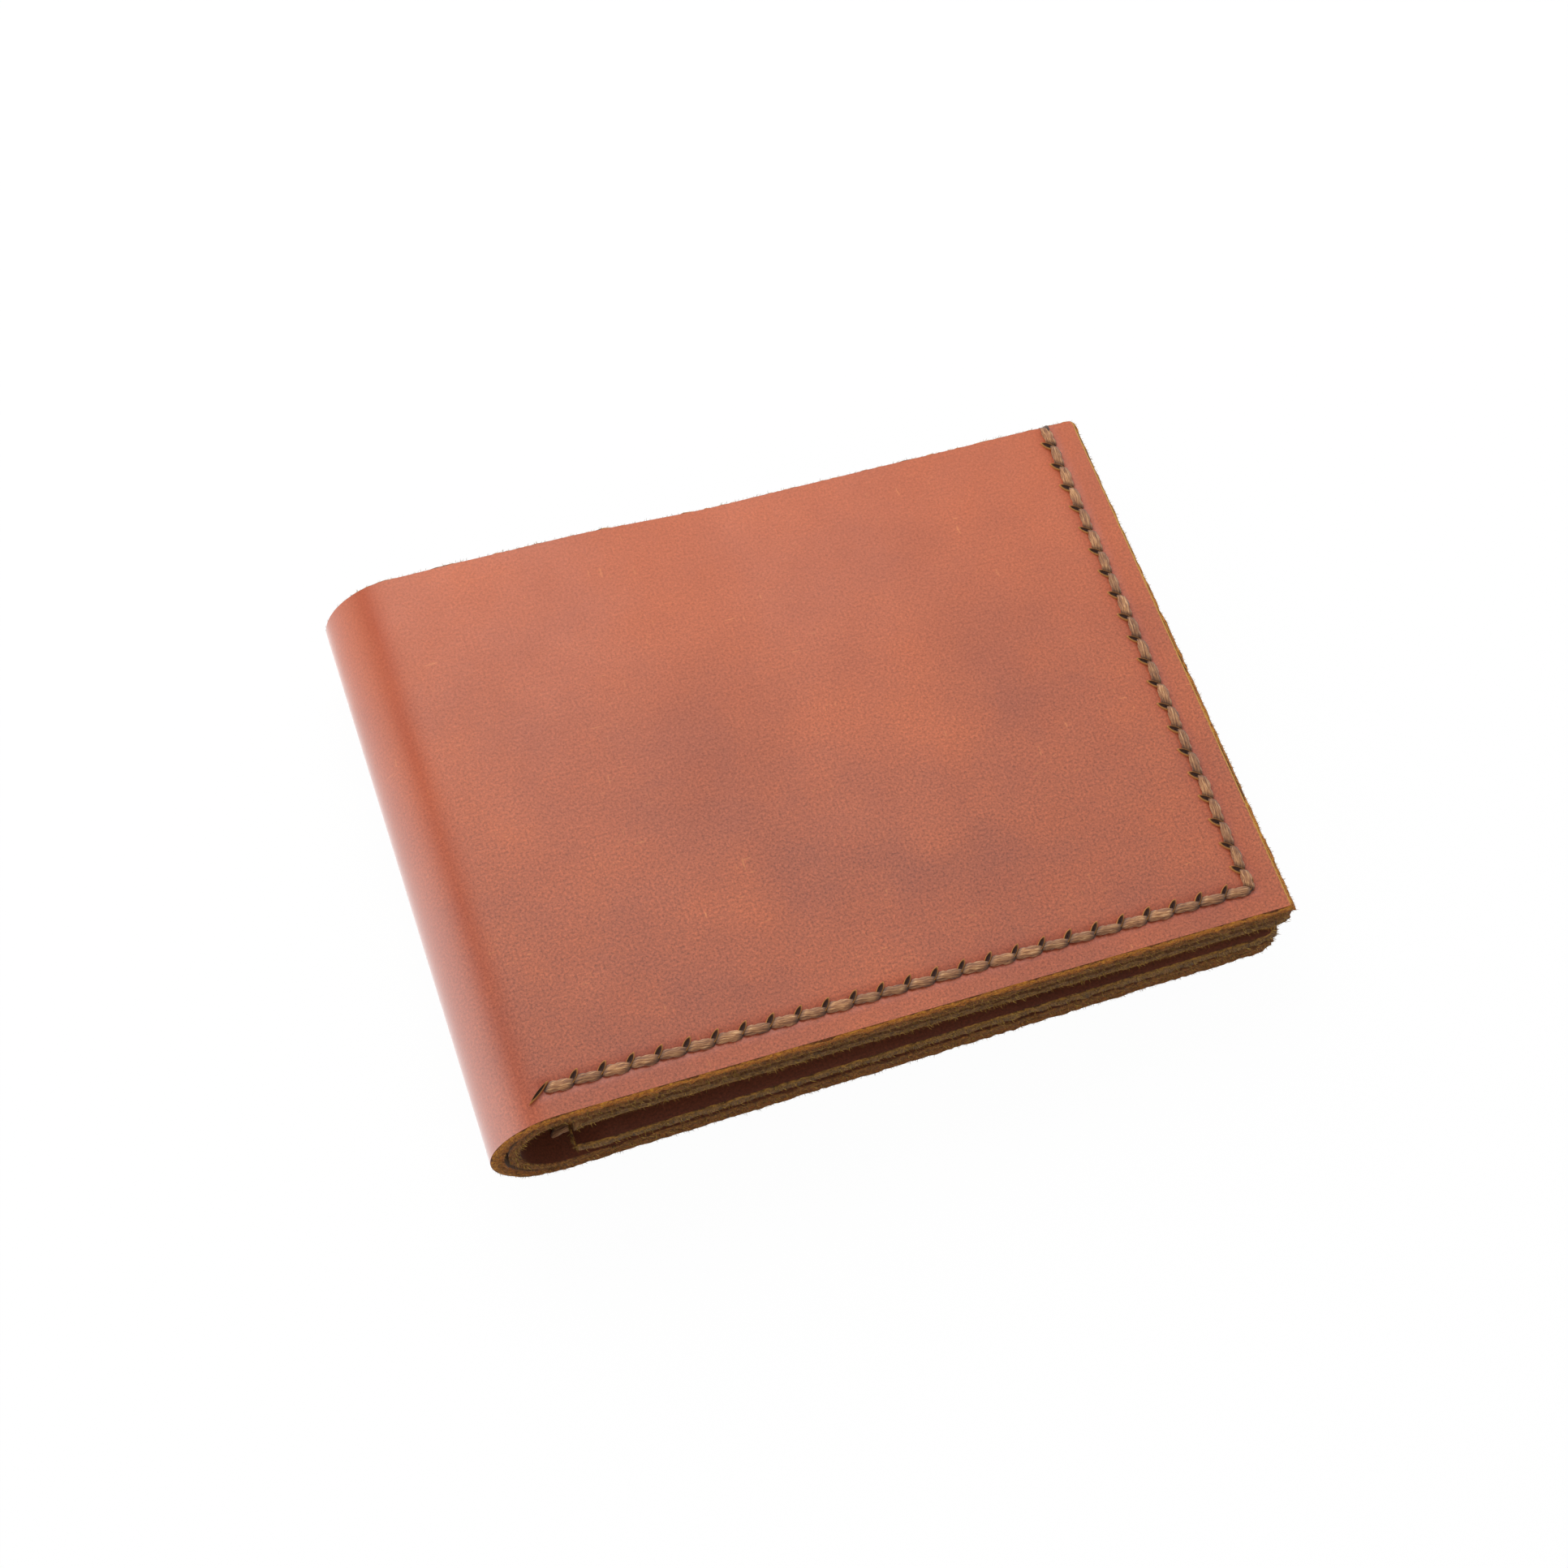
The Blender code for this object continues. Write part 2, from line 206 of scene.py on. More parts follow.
def seam_distance(half, u, v):
    """Distance from the main seam's line, and how near the closest hole is along it (1 at a hole)."""
    if v > NEAR_INSET and u > SEAM_U[half] - (v - NEAR_INSET):
        holes, spot, off = [NEAR_INSET] + SIDE_HOLES, v, abs(u - SEAM_U[half])
    else:
        holes, spot, off = BOTTOM_HOLES[half], u, abs(v - NEAR_INSET)
        off = max(off, holes[0] - u, u - holes[-1])
    nearest = min(abs(spot - hole) for hole in holes)
    return off, max(0.0, 1 - nearest / (PITCH / 2))


# %% [markdown]
# ## Colours and nodes
# Colours are written as a painter's hex values and turned to the linear light that Blender computes
# with. One helper adds a node, sets it up and links what feeds it; the short ones name what recurs.

# %% Helpers for materials
def linear(code):
    """Linear RGBA of an sRGB hex value."""
    parts = [int(code[i:i + 2], 16) / 255 for i in (1, 3, 5)]
    return tuple(c / 12.92 if c <= 0.04045 else ((c + 0.055) / 1.055) ** 2.4 for c in parts) + (1.0,)


def add(tree, kind, feeds=None, **settings):
    """Add a node, set its properties, and set or link its inputs by name or number."""
    made = tree.nodes.new(kind)
    for name, value in settings.items():
        setattr(made, name, value)
    for key, value in (feeds or {}).items():
        if isinstance(value, bpy.types.NodeSocket):
            tree.links.new(value, made.inputs[key])
        else:
            made.inputs[key].default_value = value
    return made


def calc(tree, operation, first, second=0.0):
    """Value of a sum, a product or the like."""
    return add(tree, "ShaderNodeMath", {0: first, 1: second}, operation=operation).outputs[0]


def grey(tree, value):
    """Grey whose three channels are one value."""
    return add(tree, "ShaderNodeCombineColor", {0: value, 1: value, 2: value}).outputs[0]


def attribute(tree, name):
    """Named number that a mesh carries."""
    return add(tree, "ShaderNodeAttribute", attribute_name=name).outputs["Fac"]


def new_material(name, **values):
    """Material with a Principled shader, whose plain values are set on its own sockets."""
    made = bpy.data.materials.new(name)
    made.use_nodes = True
    shader = made.node_tree.nodes["Principled BSDF"]
    for key, value in values.items():
        shader.inputs[key.replace("_", " ")].default_value = value
    return made, made.node_tree, shader


def pattern_mm(tree):
    """Place in the cut sheet, in millimetres, so that a noise scale is one over a size in mm."""
    spot = add(tree, "ShaderNodeAttribute", attribute_name="sheet")
    return add(tree, "ShaderNodeVectorMath", {0: spot.outputs["Vector"], 3: 1 / MM},
               operation="SCALE").outputs[0]


def paint(tree, shader, colour, *bumps):
    """Give a shader its colour and its bumps, each (height, strength, depth), the finest first."""
    tree.links.new(colour, shader.inputs["Base Color"])
    for height, strength, depth in bumps:
        made = add(tree, "ShaderNodeBump", {"Height": height, "Strength": strength, "Distance": depth})
        if shader.inputs["Normal"].is_linked:
            tree.links.new(shader.inputs["Normal"].links[0].from_socket, made.inputs["Normal"])
        tree.links.new(made.outputs[0], shader.inputs["Normal"])


def ramp(tree, factor, stops):
    """Colour ramp from (position, hex) stops."""
    made = add(tree, "ShaderNodeValToRGB", {"Fac": factor})
    elements = made.color_ramp.elements
    while len(elements) < len(stops):
        elements.new(0.5)
    for element, (position, code) in zip(elements, stops):
        element.position = position
        element.color = linear(code)
    return made.outputs["Color"]


def mix(tree, factor, first, second, blend="MIX"):
    """Mix two colours."""
    return add(tree, "ShaderNodeMix", {0: factor, 6: first, 7: second},
               data_type="RGBA", blend_type=blend).outputs[2]


def noise_at(tree, where, size, detail=3.0, rough=0.55, stretch=None):
    """Noise whose features are about size millimetres, stretched by a factor for each axis."""
    if stretch:
        where = add(tree, "ShaderNodeVectorMath", {0: where, 1: stretch}, operation="MULTIPLY").outputs[0]
    return add(tree, "ShaderNodeTexNoise", {"Vector": where, "Scale": 1 / size, "Detail": detail,
                                            "Roughness": rough}).outputs["Fac"]


def span(tree, value, low, high, to_low=0.0, to_high=1.0):
    """Value moved from one range to another, and clamped."""
    return add(tree, "ShaderNodeMapRange", {0: value, 1: low, 2: high, 3: to_low, 4: to_high}).outputs[0]


# %% [markdown]
# ## Pull-up leather
# The grain side is vegetable-tanned cowhide, drum-dyed and stuffed with oil and wax. Where it is bent
# or pinched the wax moves aside and the leather shows a lighter, redder colour: the maker calls that
# pull-up. The sheets carry an attribute, pull, that says where. On top come soft clouds of dye, a very
# fine pore pattern and a few hair-thin scratches. Painted light makes the far end, at the opening,
# brighter and redder, and a pale painted highlight lies round the spine. The wax gives a soft sheen, not
# a gloss.

# %% Grain side
def grain_leather(name, dark, light, glow, opening, scratch, bloom):
    """Smooth waxed grain side: clouds of dye, pores, scratches and the pull-up glow.

    dark and light are the ends of its clouds, glow is for the patches, opening for the painted light that
    makes the far end brighter and redder, and bloom is how much sheen the wax gives.
    """
    made, tree, shader = new_material(
        name, IOR=1.45, Specular_IOR_Level=0.60, Sheen_Weight=bloom, Sheen_Roughness=0.30)
    where = pattern_mm(tree)
    clouds = noise_at(tree, where, 30.0, 5.0, 0.62)
    patches = noise_at(tree, where, 6.0, 5.0, 0.65, (1.0, 0.7, 1.0))
    pores = noise_at(tree, where, 0.38, 2.0, 0.8)
    colour = ramp(tree, clouds, [(0.34, dark), (0.64, light)])
    colour = mix(tree, span(tree, patches, 0.35, 0.68, 0.0, 0.25), colour, linear(glow))
    speck = span(tree, pores, 0.30, 0.70, 0.56, 1.44)
    colour = mix(tree, 1.0, colour, grey(tree, speck), "MULTIPLY")
    streaks = noise_at(tree, where, 0.55, 2.0, 0.5, (0.16, 1.0, 1.0))
    cross_streaks = noise_at(tree, where, 0.60, 2.0, 0.5, (1.0, 0.2, 1.0))
    finest = calc(tree, "MAXIMUM", streaks, cross_streaks)
    worn = noise_at(tree, where, 15.0, 2.0, 0.5)
    scratches = calc(tree, "MULTIPLY", span(tree, finest, 0.68, 0.76, 0.0, 0.6),
                     span(tree, worn, 0.48, 0.64))
    colour = mix(tree, scratches, colour, linear(scratch))
    along, from_seam, _ = add(tree, "ShaderNodeSeparateXYZ", {0: where}).outputs
    # Painted light: the far end, at the opening, is coloured brighter and redder, as if more light fell
    # there.
    far_side_light = span(tree, from_seam, 0.3 * HEIGHT / MM, HEIGHT / MM, 0.0, 0.45)
    colour = mix(tree, far_side_light, colour, linear(opening))
    # Painted highlight: a pale pink veil round the spine, strongest towards the sewn edge, for the light
    # that the fold's side reflects.
    off_spine = calc(tree, "ABSOLUTE", calc(tree, "ADD", along, FOLD_ARC / MM))
    painted_fold_veil = calc(tree, "MULTIPLY", span(tree, off_spine, 2.0, 12.0, 0.72, 0.0),
                 span(tree, from_seam, 35.0, 80.0, 1.0, 0.4))
    colour = mix(tree, painted_fold_veil, colour, linear("#c4958e"))
    colour = mix(tree, attribute(tree, "pull"), colour, linear("#983410"))
    frayed = calc(tree, "ADD", attribute(tree, "rim"), span(tree, pores, 0.3, 0.7, -0.25, 0.25))
    colour = mix(tree, span(tree, frayed, 0.35, 0.6), colour, linear("#b08032"))
    tree.links.new(span(tree, patches, 0.3, 0.7, 0.50, 0.40), shader.inputs["Roughness"])
    creases = noise_at(tree, where, 1.6, 4.0, 0.6)
    paint(tree, shader, colour, (pores, 0.30, 0.06 * MM), (creases, 0.25, 0.08 * MM))
    return made


# The opening colours are painted light, which makes the far end brighter and redder.
shell_grain = grain_leather(
    "waxed_pull_up_shell", dark="#914d38", light="#ac5a38", glow="#a9573a", opening="#c25c2a",
    scratch="#d88a52", bloom=0.95)
lining_grain = grain_leather(
    "waxed_pull_up_lining", dark="#5e2d1b", light="#6c3721", glow="#66311f", opening="#703a24",
    scratch="#94573a", bloom=0.10)
print("grain side:", shell_grain.name, "and", lining_grain.name)

# %% [markdown]
# ## Flesh side and raw edge
# The flesh side is a matt, short suede. The edges are left as the knife made them: golden, fibrous
# in the middle, with a thin dark line where the dyed grain ends and a rough brown fringe at the flesh.
# The sheet attribute's third number is the depth under the grain, which places those bands.

# %% Flesh side and edge
flesh_side, tree, shader = new_material("suede_flesh_side", IOR=1.4, Roughness=0.95, Sheen_Weight=0.25)
where = pattern_mm(tree)
nap = noise_at(tree, where, 0.45, 5.0, 0.7)
colour = ramp(tree, nap, [(0.3, "#5e3519"), (0.5, "#8a5a30"), (0.72, "#b08550")])
paint(tree, shader, colour, (nap, 0.9, 0.25 * MM))


def edge_leather(name, bands, tufts, back_half_brown=0.0):
    """Raw cut edge: bands by depth under the grain, broken by fibres that lie along the sheet.

    The last argument is how much browner and darker the edge is coloured on the half that lies on the
    table.
    """
    made, tree, shader = new_material(name, IOR=1.4, Roughness=0.85)
    where = pattern_mm(tree)
    along, _, depth = add(tree, "ShaderNodeSeparateXYZ", {0: where}).outputs
    fibres = noise_at(tree, where, 0.48, 6.0, 0.85, (0.7, 0.7, 1.2))
    clumps = noise_at(tree, where, 1.8, 3.0, 0.6, (0.5, 0.5, 1.3))
    shift = calc(tree, "ADD", span(tree, clumps, 0.3, 0.7, -0.30, 0.30), depth)
    colour = ramp(tree, span(tree, shift, 0.0, SHELL / MM), bands)
    # The edge is coloured browner and darker on the back half, by the last argument.
    under = span(tree, along, -2 * FOLD_ARC / MM, 0.0, back_half_brown, 0.0)
    colour = mix(tree, under, colour, linear("#8c5c30"))
    colour = mix(tree, 0.70, colour, ramp(tree, fibres, tufts), "OVERLAY")
    pits = span(tree, fibres, 0.38, 0.54, 0.32, 1.0)
    colour = mix(tree, 0.85, colour, grey(tree, pits), "MULTIPLY")
    paint(tree, shader, colour, (fibres, 1.0, 0.50 * MM))
    return made


GOLDEN_TUFTS = [(0.34, "#54380f"), (0.50, "#94702a"), (0.64, "#e0b858")]
BROWN_TUFTS = [(0.34, "#4a3018"), (0.50, "#8c6a3c"), (0.64, "#d4b074")]
shell_edge = edge_leather("raw_shell_edge", [
    (0.0, "#8a5420"), (0.10, "#e4b450"), (0.55, "#d49c46"), (1.0, "#c0803c")], GOLDEN_TUFTS, back_half_brown=0.7)
liner_edge = edge_leather("raw_liner_edge", [
    (0.0, "#7a4a20"), (0.15, "#b08348"), (0.6, "#a47640"), (1.0, "#9c6c3c")], BROWN_TUFTS)
pocket_edge = edge_leather("raw_pocket_edge", [
    (0.0, "#6a4218"), (0.10, "#c09a4c"), (0.40, "#a48658"), (1.0, "#917350")], BROWN_TUFTS)
fibre_ends, tree, shader = new_material("loose_leather_fibre", IOR=1.4, Roughness=0.8)
paint(tree, shader, ramp(tree, attribute(tree, "tone"), [
    (0.0, "#6a4418"), (0.5, "#94702c"), (1.0, "#c8a050")]))
print("flesh, edge and fibre materials made")

# %% [markdown]
# ## Waxed thread
# The thread is twisted from many fine fibres and waxed. Each stitch carries a UV map, round and along
# the strand, so the fibres can be drawn as thin streaks that follow its twist. The streaks are a little
# coarser than real fibres, so that they show, and painted shade darkens the strand where it dives into
# its holes. The slit that the awl cuts has a middle painted dark as shade, with a torn golden lip.

# %% Thread
waxed_thread, tree, shader = new_material("waxed_linen_thread", IOR=1.5, Roughness=0.62, Sheen_Weight=0.2)
strand = add(tree, "ShaderNodeUVMap", uv_map="strand").outputs[0]
tone = attribute(tree, "tone")
offset = add(tree, "ShaderNodeCombineXYZ", {0: tone, 1: 0.0, 2: tone}).outputs[0]
moved = add(tree, "ShaderNodeVectorMath", {0: strand, 1: offset}, operation="ADD").outputs[0]
streaks = noise_at(tree, moved, 1.0, 4.0, 0.7, (26.0, 2.2, 9.0))
_, along_strand, _ = add(tree, "ShaderNodeSeparateXYZ", {0: strand}).outputs
ends = calc(tree, "ABSOLUTE", calc(tree, "SUBTRACT", along_strand, 0.5))
colour = ramp(tree, streaks, [(0.32, "#43200c"), (0.46, "#875530"), (0.60, "#b58252"), (0.76, "#e8c294")])
colour = mix(tree, 1.0, colour, grey(tree, span(tree, tone, 0.0, 1.0, 0.82, 1.12)), "MULTIPLY")
# Painted shade: the strand is darkened towards its ends, where it dives into its holes.
colour = mix(tree, span(tree, ends, 0.26, 0.45, 0.0, 0.95), colour, linear("#33190a"))
paint(tree, shader, colour, (streaks, 0.9, 0.12 * MM))

slit_leather, tree, shader = new_material("torn_awl_slit", IOR=1.4, Roughness=0.8)
strand = add(tree, "ShaderNodeUVMap", uv_map="strand").outputs[0]
_, outward, _ = add(tree, "ShaderNodeSeparateXYZ", {0: strand}).outputs
# Painted shade: the slit's middle is near black for the shade inside the hole; the golden lip is the torn
# leather's own colour.
paint(tree, shader, ramp(tree, outward, [
    (0.0, "#281308"), (0.36, "#3e200e"), (0.54, "#663c18"), (0.78, "#a8743a"), (1.0, "#a04c24")]))
print("thread and slit materials made")

# %% [markdown]
# ## A sheet of leather as a solid
# Each sheet is a grid over its flat pattern, bent into place point by point. The grid gets a grain
# face, a flesh face and, along every border, a wall of several rows that is roughened to look cut.
# The grid lines are closer near the seams, because the stitches pull the leather down there. At the
# free edge the knife leaned outward, so that a strip of the cut shows from above.

# %% The sheet builder
EDGE_ROWS = 6
EDGE_ROUND = 0.12 * MM     # how far the knife edge is rounded at the grain
EDGE_ROUGH = 0.25 * MM
EDGE_FLARE = 0.17 * MM     # the flesh side swells at a cut, so that neighbours touch there
END_SLANT = 0.95 * MM      # how far the cut of the free edge leans out, near the seam
FAR_CORNER = 0.8 * MM
NEAR_CORNER = {"back": 1.8 * MM, "front": 0.4 * MM}


def show(piece):
    """Put an object in the scene."""
    bpy.context.scene.collection.objects.link(piece)


def store(mesh, label, values):
    """Keep a number or a vector for each point of a mesh."""
    values = np.array(values, np.float32)
    kind, key = ("FLOAT", "value") if values.ndim == 1 else ("FLOAT_VECTOR", "vector")
    mesh.attributes.new(label, kind, "POINT").data.foreach_set(key, values.ravel())


def lines(start, end, step, finer=()):
    """Grid lines from start to end, closer together within each (centre, reach, step) of finer."""
    places, at = [start], start
    while at < end - step * 0.5:
        here = min([s for c, reach, s in finer if abs(at - c) < reach] + [step])
        at += here
        places.append(at)
    places[-1] = end
    return places


def rounded(u, v, end, near_corner):
    """Move a pattern point inside the rounded corners at the free end."""
    for radius, corner_v, sign in ((near_corner, near_corner, -1), (FAR_CORNER, HEIGHT - FAR_CORNER, 1)):
        du, dv = u - (end - radius), (v - corner_v) * sign
        if du > 0 and dv > 0:
            pull_in = max(du, dv) / math.hypot(du, dv)
            return end - radius + du * pull_in, corner_v + sign * dv * pull_in
    return u, v


def slant(v):
    """How far the free edge's flesh side stands out past its grain side: less at the opening."""
    return END_SLANT * (1 - 0.5 * smooth((v / HEIGHT - 0.5) / 0.3))


def roughness(u, v, row):
    """Outward offset of a wall's point: rounded at the grain, torn towards the flesh."""
    if row == 0:
        return -EDGE_ROUND
    spot = Vector((u / MM * 1.3, v / MM * 1.3, row * 1.1))
    coarse = noise.noise(spot * 0.5)
    fine = noise.noise(spot * 2.1)
    swell = math.sin(math.pi * min(1.0, row / EDGE_ROWS * 1.15))
    return EDGE_ROUGH * (0.45 * swell + 0.7 * coarse + 0.9 * fine * (0.5 + row / EDGE_ROWS))


def leather_sheet(name, u_lines, v_lines, spot, thickness, finishes, along, used=None, pull=None,
                  near_corner=0.5 * MM, flare=EDGE_FLARE):
    """Solid sheet. spot(u, v, depth) gives a point, with the depth counted from the grain face.

    finishes are its grain and edge materials; along(u) is the place in the uncut hide; near_corner
    is the radius of its corner at the sewn edge. A sheet that starts at the middle of the fold has
    no cut edge there.
    """
    index = {}
    verts, flat, pulls, rims, faces, kinds = [], [], [], [], [], []
    start_cut = u_lines[0] > -FOLD_ARC
    u_last, v_last = len(u_lines) - 1, len(v_lines) - 1

    def corner(i, j, row):
        key = (i, j, row)
        if key not in index:
            u, v = u_lines[i], v_lines[j]
            depth = thickness * row / EDGE_ROWS
            index[key] = len(verts)
            pulls.append(pull(u, v) if pull and row == 0 else 0.0)
            rims.append(1.0 if i == u_last else 0.0)
            flat.append((along(u), v, depth))
            out = roughness(along(u), v, row)
            at_cut = i == u_last or j in (0, v_last) or (i == 0 and start_cut)
            if at_cut and row == EDGE_ROWS:
                depth += flare
            u, v = rounded(u, v, u_lines[-1], near_corner)
            u += out * ((i == u_last) - (i == 0 and start_cut))
            u += slant(v) * row / EDGE_ROWS * (i == u_last)
            v += out * ((j == v_last) - (j == 0))
            verts.append(spot(u, v, depth))
        return index[key]

    def filled(i, j):
        inside = 0 <= i < u_last and 0 <= j < v_last
        return inside and (used is None or used(u_lines[i] + u_lines[i + 1], v_lines[j] + v_lines[j + 1]))

    for i in range(u_last):
        for j in range(v_last):
            if not filled(i, j):
                continue
            ring = [(i, j), (i + 1, j), (i + 1, j + 1), (i, j + 1)]
            faces.append([corner(*p, 0) for p in ring])
            kinds.append(0)
            faces.append([corner(*p, EDGE_ROWS) for p in reversed(ring)])
            kinds.append(1)
            for side, (di, dj) in enumerate(((0, -1), (1, 0), (0, 1), (-1, 0))):
                if filled(i + di, j + dj):
                    continue
                p, q = ring[side], ring[(side + 1) % 4]
                for row in range(EDGE_ROWS):
                    faces.append([corner(*q, row), corner(*p, row),
                                  corner(*p, row + 1), corner(*q, row + 1)])
                    kinds.append(2 if start_cut or i + di >= 0 else 1)
    mesh = bpy.data.meshes.new(name)
    mesh.from_pydata(verts, [], faces)
    for material in (finishes[0], flesh_side, finishes[1]):
        mesh.materials.append(material)
    mesh.polygons.foreach_set("material_index", kinds)
    mesh.polygons.foreach_set("use_smooth", [True] * len(faces))
    for label, values in (("sheet", flat), ("pull", pulls), ("rim", rims)):
        store(mesh, label, values)
    bm = bmesh.new()
    bm.from_mesh(mesh)
    bmesh.ops.recalc_face_normals(bm, faces=bm.faces)
    for edge in bm.edges:
        edge.smooth = len({face.material_index for face in edge.link_faces}) == 1
    bm.to_mesh(mesh)
    bm.free()
    piece = bpy.data.objects.new(name, mesh)
    show(piece)
    print(f"{name}: {len(mesh.polygons)} faces")
    return piece


# %% [markdown]
# ## Outer shell and liner
# Both are one sheet each, bent round the fold. They are split at the middle of the spine, into one piece
# for each half. At that split the normals are set from the round of the fold, so that the join can't be
# seen. The liner stands off the shell a little on the lower side of the fold, where the real one buckles
# away.

# %% Pull of the seam and the fold on the leather
DENT = 0.32 * MM           # depth of the leather under a stitch
DENT_REACH = 1.0 * MM
FOLD_GLOW = 0.55
SEAM_GLOW = 0.50


def dent(half, u, v):
    """How far the stitches draw the grain down."""
    off, near_hole = seam_distance(half, u, v)
    return DENT * math.exp(-(off / DENT_REACH) ** 2) * (0.65 + 0.35 * near_hole)


def shell_pull(half):
    """Where the shell shows its redder colour: at the start of the bend and along the stitches."""
    def pull(u, v):
        bend = math.exp(-((u + 4.2 * MM) / (2.0 * MM)) ** 2) * (0.6 + 0.4 * v / HEIGHT)
        streak = 0.75 + 0.25 * noise.noise(Vector((u / MM * 0.5, v / MM * 0.08, 2.0)))
        off, near_hole = seam_distance(half, u, v)
        seam = math.exp(-(off / (1.7 * MM)) ** 2) * (0.55 + 0.45 * near_hole)
        return min(0.9, FOLD_GLOW * bend * streak + SEAM_GLOW * seam)
    return pull


def ripple(u, v, seed):
    """Soft unevenness of the hide, a few hundredths of a millimetre high."""
    spot = Vector((u / MM / 24, v / MM / 24, seed))
    return 0.16 * MM * noise.noise(spot) + 0.05 * MM * noise.noise(spot * 3.3)


def shell_spot(half):
    """Shell's points: depth runs inward from the grain, which is drawn down by the stitches."""
    def spot(u, v, depth):
        sunk = dent(half, u, v) * (1 - depth / SHELL)
        lifted = ripple(u, v, 1.0) if half == "front" and u > 0 else 0.0
        return place(half, u, v, depth + sunk + lifted * smooth(u / (10 * MM)))
    return spot


LINER_DEEP = SHELL + GAP + LINER
LINER_BUCKLE = 0.7 * MM
LINER_DROP = HEIGHT - (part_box("liner_back")[1].y - cad_box[0].y)


def liner_spot(half):
    """Liner's points: its grain faces inward, so the depth runs back towards the shell."""
    def spot(u, v, depth):
        w = LINER_DEEP - depth
        if u < 0:
            w += LINER_BUCKLE * math.sin(math.pi * (fold_angle(half, u) / TURN) ** 0.75)
        return place(half, u, v, w)
    return spot


SEAM_LINE = (NEAR_INSET, 4.2 * MM, 0.4 * MM)


def match_normals(piece):
    """Set the normals at the middle of the spine square to the fold, on both faces."""
    mesh = piece.data
    middle = Vector((-math.sin(TURN / 2), 0.0, -math.cos(TURN / 2)))
    along = Vector((-middle.z, 0.0, middle.x))
    normals = [(0.0, 0.0, 0.0)] * len(mesh.loops)
    for face in mesh.polygons:
        if abs(face.normal.dot(middle)) < 0.5:
            continue
        for loop in face.loop_indices:
            off = mesh.vertices[mesh.loops[loop].vertex_index].co - FOLD_CENTRE
            if abs(off.dot(along)) < 0.01 * MM and off.x < 0:
                normals[loop] = middle if face.normal.dot(middle) > 0 else -middle
    mesh.normals_split_custom_set(normals)


# %% [markdown]
# ## The four halves of shell and liner
# The hide's clouds and pores run on unbroken round the fold, because both halves of a sheet take their
# pattern from one place along the uncut hide.

# %% Make the shell and the liner
SHELL_FINISH, LINER_FINISH = (shell_grain, shell_edge), (lining_grain, liner_edge)
POCKET_FINISH = (lining_grain, pocket_edge)


def hide_place(half, offset):
    """Place along the uncut hide, which runs on unbroken from the front half round to the back."""
    if half == "front":
        return lambda u: offset + u
    return lambda u: offset - u - 2 * FOLD_ARC


leather = {}
for half in ("back", "front"):
    end = LENGTH[half]
    side_line = (SEAM_U[half], 2.0 * MM, 0.4 * MM)
    u_lines = lines(-FOLD_ARC, end, 0.6 * MM, [side_line, (end, 0.9 * MM, 0.3 * MM)])
    v_lines = lines(0.0, HEIGHT, 1.0 * MM, [SEAM_LINE])
    leather["outer_shell", half] = leather_sheet(
        f"outer_shell_leather_{half}", u_lines, v_lines, shell_spot(half), SHELL, SHELL_FINISH,
        hide_place(half, 0.0), pull=shell_pull(half), near_corner=NEAR_CORNER[half])
    u_lines = lines(-FOLD_ARC, end, 0.9 * MM)
    v_lines = lines(0.0, HEIGHT - LINER_DROP, 1.2 * MM, [SEAM_LINE])
    leather["liner", half] = leather_sheet(
        f"liner_leather_{half}", u_lines, v_lines, liner_spot(half), LINER, LINER_FINISH,
        hide_place(half, 0.6), near_corner=NEAR_CORNER[half])
    for part in ("outer_shell", "liner"):
        match_normals(leather[part, half])

# %% [markdown]
# ## Card pockets and T-slots
# A pocket lies over its T-slot, but the slot's foot stops short of the bottom seam, which pinches the
# front pocket a little. The back pocket's lip stands up beside the seam near the fold, and its cut edge
# is thicker there; one of its corners curls.

# %% Pockets and slots
POCKET_DEEP = STACK
SLOT_DEEP = STACK - POCKET - GAP
PINCH = 0.25 * MM
LIFT = 0.9 * MM            # the back pocket's lip stands up beside the bottom seam
PINCH_START, PINCH_END = 2 * MM, 13 * MM
POCKET_FLARE = {"back": 1.1 * MM, "front": EDGE_FLARE}
CURL = 1.3 * MM
CURL_REACH = 6 * MM
STEM_INSET = 10.0 * MM
STEM_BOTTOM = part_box("card_slot_back")[0].y - cad_box[0].y
BAND_BOTTOM = SLOT_TOP - 20.0 * MM
SLOT_SEAM, POCKET_SEAM, SEAM_END = (d * MM for d in (3.5, 4.0, 6.0))


def pocket_face(half, u, v):
    """Depth of a pocket's grain face in its half's stack."""
    near_seam = 1 - smooth((v - PINCH_START) / (PINCH_END - PINCH_START))
    if half == "front":
        return POCKET_DEEP - PINCH * near_seam
    return POCKET_DEEP + LIFT * near_seam * (1 - smooth(u / LENGTH[half] * 2.0 - 0.95))


def pocket_spot(half):
    """Pocket's points, with a corner that curls away from the liner at the fold."""
    def spot(u, v, depth):
        near_fold = max(0.0, 1 - (u - POCKET_EDGE) / CURL_REACH)
        near_foot = max(0.0, 1 - v / CURL_REACH)
        curl = CURL * near_fold ** 2 * near_foot ** 2
        sunk = dent(half, u, v) * (1 - depth / POCKET)
        return place(half, u, v, pocket_face(half, u, v) - depth - sunk + curl)
    return spot


def t_shape(half):
    """True for a grid cell of the T, from twice the cell's middle."""
    def used(double_u, double_v):
        u, v = double_u / 2, double_v / 2
        in_stem = POCKET_EDGE + STEM_INSET < u < LENGTH[half] - STEM_INSET
        return v > BAND_BOTTOM or in_stem
    return used


def slot_spot(half):
    """Slot's points, flat between the liner and the pocket."""
    return lambda u, v, depth: place(half, u, v, SLOT_DEEP - depth)


